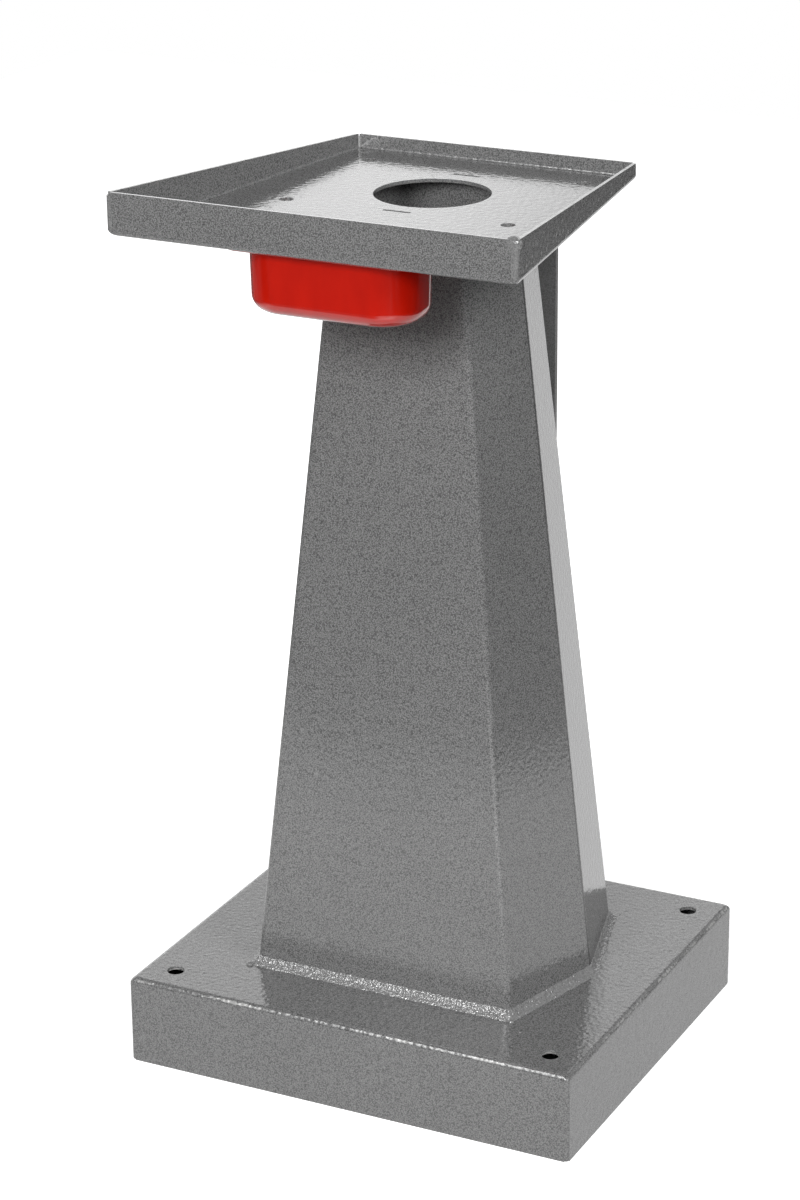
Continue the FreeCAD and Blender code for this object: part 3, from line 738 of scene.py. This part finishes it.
def slice_long_edges(bm, longest, step):
    """Divides the long edges into short steps, so that a bead can ripple."""
    groups = {}
    for edge in bm.edges:
        length = edge.calc_length()
        if length > longest:
            groups.setdefault(round(length / LENGTH_STEP), []).append(edge)
    for edges in groups.values():
        average = sum(edge.calc_length() for edge in edges) / len(edges)
        bmesh.ops.subdivide_edges(
            bm, edges=edges, cuts=max(1, round(average / step)), use_grid_fill=True)


def ripple(bm, size, depth, movable=lambda place: True):
    """Pushes the skin in and out by smooth noise where movable says so."""
    bm.normal_update()
    moves = []
    for vert in bm.verts:
        if movable(vert.co):
            coarse = noise.noise(vert.co / size)
            fine = noise.noise(vert.co / (size * FINE_SIZE) + FINE_SHIFT)
            moves.append((vert, vert.normal * depth * (coarse + FINE_DEPTH * fine)))
    for vert, move in moves:
        vert.co += move


# ---------------------------------------------------------------- where the sheets' edges lie

def on_outer_fold(inset, drop, radius):
    """Whether a point is on a fold's outer curve: inset from the flange, drop from the flat."""
    near = max(inset, drop) < radius + NEAR
    return near and math.hypot(radius - inset, radius - drop) > radius - NEAR


def on_base_mitre(place):
    """Whether a point lies where two of the base's top folds meet, on the outside."""
    across = BASE_WIDTH / 2 - abs(place.x)
    along = BASE_DEPTH / 2 - abs(place.y)
    return abs(across - along) < NEAR and on_outer_fold(across, BASE_TOP - place.z, BASE_FOLD)


def tray_edge(along, inward):
    """Half width of the tray at a distance along Y, drawn in square to the lip."""
    at_axis = TRAY_REAR_WIDTH / 2 + TRAY_REAR * LIP_FLARE
    return at_axis - along * LIP_FLARE - inward * LIP_SECANT


def on_tray_mitre(place):
    """Whether a point lies where two of the tray's lips fold up, on the outside."""
    inset = TRAY_REAR - place.y if place.y > 0 else TRAY_FRONT + place.y
    beside = abs(abs(place.x) - tray_edge(place.y, inset)) < NEAR
    return beside and on_outer_fold(inset, place.z - TRAY_LEVEL, TRAY_FOLD)


def on_anchor_rim(place):
    """Whether a point lies on the upper rim of a floor anchor hole."""
    away = math.hypot(abs(place.x) - ANCHOR_ACROSS / 2, abs(place.y) - ANCHOR_ALONG / 2)
    return abs(place.z - BASE_TOP) < NEAR and abs(away - ANCHOR_RADIUS) < NEAR


def on_tray_rim(place):
    """Whether a point lies on the upper rim of the cable hole or of a grinder hole."""
    bolt_away = math.hypot(
        abs(place.x) - BOLTS_ACROSS / 2, abs(place.y - BOLTS_MIDDLE) - BOLTS_ALONG / 2)
    on_bolt = abs(bolt_away - BOLT_RADIUS) < NEAR
    on_cable = abs(math.hypot(place.x, place.y) - CABLE_RADIUS) < NEAR
    return abs(place.z - TRAY_LEVEL - SHEET) < NEAR and (on_bolt or on_cable)


# ---------------------------------------------------------------- sheet pieces

def dress_sheet(
        node, name, material, rounding=CUT_ROUNDING, mitre=None, rim=None, sunk=0.0,
        drawn_back=0.0):
    """A sheet of the frame with cut edges softened, its tabs sunk or its front drawn back."""
    bm = bmesh.new()
    bm.from_mesh(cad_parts[node].data)
    bmesh.ops.remove_doubles(bm, verts=bm.verts, dist=MERGED)
    bmesh.ops.dissolve_limit(bm, angle_limit=FLAT_ANGLE, verts=bm.verts, edges=bm.edges)
    tab_ends = [vert for vert in bm.verts if vert.co.z > TRAY_LEVEL + SHEET - NEAR]
    bmesh.ops.translate(bm, vec=(0, 0, -sunk), verts=tab_ends)
    front = min(vert.co.y for vert in bm.verts)
    front_end = [vert for vert in bm.verts if vert.co.y < front + NEAR]
    bmesh.ops.translate(bm, vec=(0, drawn_back, 0), verts=front_end)
    if mitre:
        corners = [
            edge for edge in bm.edges
            if edge.calc_length() < MITRE_LONGEST and all(mitre(vert.co) for vert in edge.verts)
        ]
        round_edges(bm, corners, CORNER_ROUNDING, segments=4)
    if rim:
        rims = [edge for edge in bm.edges if all(rim(vert.co) for vert in edge.verts)]
        round_edges(bm, rims, HOLE_ROUNDING, segments=2)
    cuts = [
        edge for edge in bm.edges if edge.is_manifold and edge.calc_face_angle() > CUT_ANGLE
    ]
    round_edges(bm, cuts, rounding, segments=2)
    finish_piece(bm, name, material, replaced=[node])


dress_sheet("base_pan", "base_pan_sheet", BASE_ENAMEL, mitre=on_base_mitre, rim=on_anchor_rim)
for half in ("front", "rear"):
    dress_sheet(f"column_{half}_shell", f"column_{half}_sheet", SHEET_ENAMEL, sunk=TAB_DROP)
dress_sheet(
    "tool_tray", "tool_tray_sheet", SHEET_ENAMEL, rounding=TRAY_CUT_ROUNDING,
    mitre=on_tray_mitre, rim=on_tray_rim)
# The stay and the rails take the lightened paint, painted light in their shade.
dress_sheet("rear_stay", "rear_stay_bar", STAY_LIGHTENED_ENAMEL)
for side_name in SIDES:
    dress_sheet(
        f"pot_rail_{side_name}", f"pot_rail_{side_name}_sheet", STAY_LIGHTENED_ENAMEL,
        rounding=THIN_CUT_ROUNDING, drawn_back=RAIL_SETBACK)


# ---------------------------------------------------------------- welds round the column

def column_corners(fraction, grow, level):
    """The column's six corners at a fraction of its height, moved outwards by grow."""
    face = (FOOT_FACE + (HEAD_FACE - FOOT_FACE) * fraction) / 2
    depth = (FOOT_DEPTH + (HEAD_DEPTH - FOOT_DEPTH) * fraction) / 2
    corner = face + SIDE_SLOPE * depth + grow * SIDE_SECANT
    face += grow * (SIDE_SECANT - SIDE_SLOPE)
    depth += grow
    return [
        (-face, -depth, level), (face, -depth, level), (corner, 0, level),
        (face, depth, level), (-face, depth, level), (-corner, 0, level),
    ]


def make_column_bead(name, node, leg, level, upward):
    """A rippled fillet bead round the column, its back buried in the column's wall."""
    direction = 1 if upward else -1
    start = 0.0 if upward else 1.0
    section = [
        (-FILLET_BURIED, -FILLET_SUNK),
        (FILLET_TOE * leg, -FILLET_SUNK),
        *((out * leg, rise * leg) for out, rise in FILLET_SKIN),
        (-FILLET_BURIED, FILLET_TOP * leg),
    ]
    bm = bmesh.new()
    loops = []
    for grow, rise in section:
        fraction = start + direction * rise / COLUMN_HEIGHT
        loops.append(add_loop(bm, column_corners(fraction, grow, level + direction * rise)))
    bridge(bm, loops + loops[:1])
    slice_long_edges(bm, longest=0.03, step=0.0014)
    bmesh.ops.recalc_face_normals(bm, faces=bm.faces)
    ripple(
        bm, size=0.0036, depth=leg * 0.11,
        movable=lambda place: (place.z - level) * direction > 0)
    finish_piece(bm, name, WELD_ENAMEL, replaced=[node])


make_column_bead("column_foot_bead", "column_foot_weld", FOOT_BEAD, BASE_TOP, upward=True)
make_column_bead("column_head_bead", "column_head_weld", HEAD_BEAD, TRAY_LEVEL, upward=False)


# ---------------------------------------------------------------- upright weld runs

def make_upright_run(name, node, lower, upper, material, rounding, wave):
    """A weld run between two four-cornered outlines, its first upright edge rounded."""
    bm = bmesh.new()
    make_bar(bm, lower, upper)
    bmesh.ops.recalc_face_normals(bm, faces=bm.faces)
    bm.verts.ensure_lookup_table()
    first_lower, first_upper = bm.verts[0], bm.verts[len(lower)]
    upright = [
        item for item in first_lower.link_edges if item.other_vert(first_lower) == first_upper
    ]
    round_edges(bm, upright, rounding, segments=4)
    slice_long_edges(bm, longest=0.008, step=0.0016)
    ripple(bm, size=0.0035, depth=wave)
    finish_piece(bm, name, material, replaced=[node])


def raised(points, level):
    """Plan points at one level."""
    return [(across, along, level) for across, along in points]


def seam_outline(side, fraction, level):
    """A column seam's section at a fraction of the column's height, outer corner first."""
    corner = column_corners(fraction, 0, level)[2][0] - SEAM_INSET
    bevel = corner - SIDE_SLOPE * SEAM_BEVEL
    return raised([
        (side * corner, 0.0), (side * bevel, SEAM_BEVEL),
        (side * (corner - SEAM_ROOT), 0.0), (side * bevel, -SEAM_BEVEL),
    ], level)


# The column's seams are painted dark: painted shade in their grooves.
for side_name, side in SIDES.items():
    make_upright_run(
        f"column_seam_{side_name}", f"column_seam_weld_{side_name}",
        seam_outline(side, 0.0, BASE_TOP + SEAM_END_GAP),
        seam_outline(side, 1.0, TRAY_LEVEL - SEAM_END_GAP),
        SEAM_SHADE_ENAMEL, SEAM_ROUNDING, wave=0.00012)

for end_name, end in ENDS.items():
    for side_name, side in SIDES.items():
        outer = Vector((side * BASE_WIDTH / 2, end * BASE_DEPTH / 2))
        inner = outer - Vector((side, end)) * (SHEET + CORNER_GAP)
        plan = [(outer.x, outer.y), (inner.x, outer.y), (inner.x, inner.y), (outer.x, inner.y)]
        make_upright_run(
            f"base_corner_run_{end_name}_{side_name}", f"base_corner_weld_{end_name}_{side_name}",
            raised(plan, BASE_RUN_LIFT), raised(plan, BASE_TOP - BASE_FOLD),
            BASE_ENAMEL, CORNER_ROUNDING, wave=0.00008)


def tray_run_plan(side, outer_y, inner_y, proud, band):
    """A tray corner's run in plan, outer corner first."""
    out_y = outer_y + math.copysign(proud, outer_y)
    return [
        (side * tray_edge(outer_y, -proud), out_y),
        (side * tray_edge(outer_y, band), out_y),
        (side * tray_edge(inner_y, SHEET + CORNER_GAP), inner_y),
        (side * tray_edge(inner_y, -proud), inner_y),
    ]


def make_tray_run(end_name, side_name, reach, top, proud, band, material):
    """The weld run that closes one of the tray's corners."""
    end = ENDS[end_name]
    plan = tray_run_plan(
        SIDES[side_name], end * reach, end * (reach - SHEET - CORNER_GAP), proud, band)
    make_upright_run(
        f"tray_corner_run_{end_name}_{side_name}", f"tray_corner_weld_{end_name}_{side_name}",
        raised(plan, TRAY_LEVEL + TRAY_FOLD), raised(plan, TRAY_LEVEL + top),
        material, CORNER_ROUNDING, wave=0.0002)


for side_name in SIDES:
    make_tray_run(
        "front", side_name, TRAY_FRONT, TRAY_FRONT_LIP - FRONT_RUN_DROP, FRONT_RUN_PROUD,
        SHEET + CORNER_GAP + FRONT_RUN_BAND, RUN_ENAMEL)
for side_name in SIDES:
    make_tray_run(
        "rear", side_name, TRAY_REAR, TRAY_REAR_LIP - REAR_RUN_DROP, 0.0,
        SHEET + CORNER_GAP, SHEET_ENAMEL)


# ---------------------------------------------------------------- weld lumps of the tray

def make_inner_bead(side_name, side):
    """The weld that shows along the inside of one of the tray's rear corners, in pale paint that
    is a painted highlight of its glint.
    """
    along = TRAY_REAR - SHEET
    height = TRAY_REAR_LIP - SHEET - INNER_BEAD_DROP
    middle = (side * tray_edge(along, SHEET), along, TRAY_LEVEL + SHEET + height / 2)
    bm = bmesh.new()
    bmesh.ops.create_cone(
        bm, cap_ends=True, segments=16, radius1=INNER_BEAD, radius2=INNER_BEAD, depth=height,
        matrix=Matrix.Translation(middle))
    slice_long_edges(bm, longest=0.004, step=0.0012)
    ripple(bm, size=0.0030, depth=0.0002)
    finish_piece(bm, f"tray_inner_bead_{side_name}", GLINT_ENAMEL)


for side_name, side in SIDES.items():
    make_inner_bead(side_name, side)


def make_corner_cap():
    """The lump of weld that rounds the top of the tray's front right corner."""
    middle_y = CAP_INSET - TRAY_FRONT
    middle = Vector((
        tray_edge(middle_y, CAP_INSET), middle_y, TRAY_LEVEL + TRAY_FRONT_LIP - CAP_DROP))
    bm = bmesh.new()
    place = Matrix.Translation(middle) @ Matrix.Diagonal((1, 1, CAP_HEIGHT / CAP_RADIUS, 1))
    bmesh.ops.create_icosphere(bm, subdivisions=4, radius=CAP_RADIUS, matrix=place)
    ripple(bm, size=0.005, depth=0.0004)
    faces_out = (
        (Vector((0, -TRAY_FRONT - CAP_PROUD, 0)), Vector((0, -1, 0))),
        (Vector((tray_edge(0, -CAP_PROUD), 0, 0)), Vector((1, LIP_FLARE, 0))),
    )
    for point, outwards in faces_out:
        geometry = bm.verts[:] + bm.edges[:] + bm.faces[:]
        cut = bmesh.ops.bisect_plane(
            bm, geom=geometry, plane_co=point, plane_no=outwards, clear_outer=True)
        rim = [item for item in cut["geom_cut"] if isinstance(item, bmesh.types.BMEdge)]
        bmesh.ops.contextual_create(bm, geom=rim)
    bmesh.ops.recalc_face_normals(bm, faces=bm.faces)
    finish_piece(bm, "tray_corner_cap", RUN_ENAMEL)


make_corner_cap()


# ---------------------------------------------------------------- welds of the stay

# The sections of the stay's beads, as (y, z).
STAY_FOOT_SECTION = [
    (TRAY_REAR, BASE_TOP),
    (TRAY_REAR + STAY_BEAD, BASE_TOP),
    (TRAY_REAR + STAY_BEAD * STAY_BEAD_BULGE[0], BASE_TOP + STAY_BEAD * STAY_BEAD_BULGE[1]),
    (TRAY_REAR, BASE_TOP + STAY_BEAD),
]
STAY_HEAD_SECTION = [
    (TRAY_REAR - STAY_GROOVE_DEPTH, TRAY_LEVEL),
    (TRAY_REAR + STAY_GROOVE_PROUD, TRAY_LEVEL),
    (TRAY_REAR + STAY_GROOVE_PROUD, TRAY_LEVEL + STAY_GROOVE_FACE),
    (TRAY_REAR, TRAY_LEVEL + STAY_GROOVE_TOP),
]


def make_stay_bead(name, node, left, right, section):
    """A short bead along X, rippled where it stands out of the stay."""
    bm = bmesh.new()
    make_bar(
        bm,
        [(left, along, level) for along, level in section],
        [(right, along, level) for along, level in section],
    )
    slice_long_edges(bm, longest=0.008, step=0.0016)
    bmesh.ops.recalc_face_normals(bm, faces=bm.faces)
    ripple(
        bm, size=0.004, depth=0.0004,
        movable=lambda place: place.y > TRAY_REAR + STAY_BEAD_BACK)
    finish_piece(bm, name, WELD_ENAMEL, replaced=[node])


make_stay_bead(
    "stay_foot_bead", "stay_foot_weld", -STAY_WIDTH / 2, STAY_WIDTH / 2, STAY_FOOT_SECTION)
for side_name, side in SIDES.items():
    left_end, right_end = sorted((side * (STAY_TAB / 2 + STAY_TAB_GAP), side * STAY_WIDTH / 2))
    make_stay_bead(
        f"stay_head_bead_{side_name}", f"stay_head_weld_{side_name}", left_end, right_end,
        STAY_HEAD_SECTION)


# ---------------------------------------------------------------- water pot

def rounded_loop(bm, width, depth, radius, level):
    """A level loop with round corners, centred on the pot."""
    made = bmesh.ops.create_grid(bm, x_segments=1, y_segments=1, size=0.5)
    verts = made["verts"]
    bmesh.ops.scale(bm, vec=(width, depth, 1), verts=verts)
    bmesh.ops.translate(bm, vec=(0, POT_MIDDLE, level), verts=verts)
    before = set(bm.edges) - {edge for vert in verts for edge in vert.link_edges}
    bmesh.ops.bevel(
        bm, geom=verts, offset=radius, segments=14, profile=0.5,
        affect="VERTICES", material=-1, clamp_overlap=True,
    )
    edges = [edge for edge in bm.edges if edge not in before]
    faces = {face for edge in edges for face in edge.link_faces}
    bmesh.ops.delete(bm, geom=list(faces), context="FACES_ONLY")
    return edges


def wall_loops(bm, profile):
    """Loops of the pot's wall through (inset, level) points."""
    return [
        rounded_loop(bm, POT_WIDTH - 2 * inset, POT_DEPTH - 2 * inset, POT_CORNER - inset, level)
        for inset, level in profile
    ]


def bottom_curve(inset, foot, radius, steps):
    """(inset, level) points from the foot of a drafted wall round into the pot's bottom."""
    inset += (POT_TOP - foot) * math.tan(POT_DRAFT)
    turns = [math.radians(90) * step / steps for step in range(steps + 1)]
    return [
        (inset + radius * (1 - math.cos(turn)), foot - radius * math.sin(turn))
        for turn in turns
    ]


def make_water_pot():
    """Drafted pot with a rounded bottom, hanging from a flat rim."""
    bm = bmesh.new()
    bottom = POT_TOP - POT_HEIGHT
    rim_low = POT_TOP - RIM_THICKNESS
    outside = wall_loops(bm, [
        (0.0, rim_low), *bottom_curve(0.0, bottom + POT_ROUNDING, POT_ROUNDING, 8),
    ])
    bmesh.ops.contextual_create(bm, geom=outside[-1])
    inner_round = POT_ROUNDING - POT_WALL
    lip_inset, lip_drop = POT_LIP_ROUNDING
    inside = wall_loops(bm, [
        (POT_WALL - lip_inset, POT_TOP), (POT_WALL, POT_TOP - lip_drop),
        *bottom_curve(POT_WALL, bottom + POT_WALL + inner_round, inner_round, 6),
    ])
    bmesh.ops.contextual_create(bm, geom=inside[-1])
    rim_section = [
        (RIM_WIDTH - RIM_EDGE, POT_TOP), (RIM_WIDTH, POT_TOP - RIM_EDGE),
        (RIM_WIDTH, rim_low + RIM_EDGE), (RIM_WIDTH - RIM_EDGE, rim_low),
    ]
    rim = [
        rounded_loop(
            bm, POT_WIDTH + 2 * out, POT_DEPTH + 2 * out, RIM_CORNER + out - RIM_WIDTH, level)
        for out, level in rim_section
    ]
    bridge(bm, [inside[0]] + rim + outside)
    bridge(bm, inside)
    bmesh.ops.recalc_face_normals(bm, faces=bm.faces)
    finish_piece(bm, "water_pot_moulding", RED_MOULDING, "pot", ["water_pot"])


make_water_pot()


# ---------------------------------------------------------------- weld spatter on the base

SPATTER_SEED = 11
SPATTER_DROPS = 26
SPATTER_REACH = (0.002, 0.022)
SPATTER_RADIUS = (0.0004, 0.0010)
SPATTER_FLATNESS = 0.7

# Radius of the blob at a corner of the foot, by the corner's number.
BLOBS = {0: 0.0032, 1: 0.0024}
BLOB_FLATNESS = 0.9


def add_drop(bm, place, radius, flatness, subdivisions):
    """A flattened drop of weld metal."""
    matrix = Matrix.Translation(place) @ Matrix.Diagonal((1, 1, flatness, 1))
    bmesh.ops.create_icosphere(bm, subdivisions=subdivisions, radius=radius, matrix=matrix)


def make_spatter():
    """Small drops on the base beside the foot weld, and a blob at each of its front corners."""
    rng = random.Random(SPATTER_SEED)
    bm = bmesh.new()
    foot = column_corners(0.0, FOOT_BEAD, BASE_TOP)
    for _ in range(SPATTER_DROPS):
        number = rng.randrange(len(foot))
        share = rng.random()
        start, end = Vector(foot[number]), Vector(foot[(number + 1) % len(foot)])
        edge_point = start.lerp(end, share)
        outwards = Vector((edge_point.x, edge_point.y, 0)).normalized()
        spot = edge_point + outwards * rng.uniform(*SPATTER_REACH)
        add_drop(bm, spot, rng.uniform(*SPATTER_RADIUS), SPATTER_FLATNESS, subdivisions=2)
    for number, radius in BLOBS.items():
        add_drop(bm, foot[number], radius, BLOB_FLATNESS, subdivisions=3)
    finish_piece(bm, "weld_spatter", WELD_ENAMEL)


make_spatter()


# ---------------------------------------------------------------- finish

scene.view_settings.view_transform = "Standard"
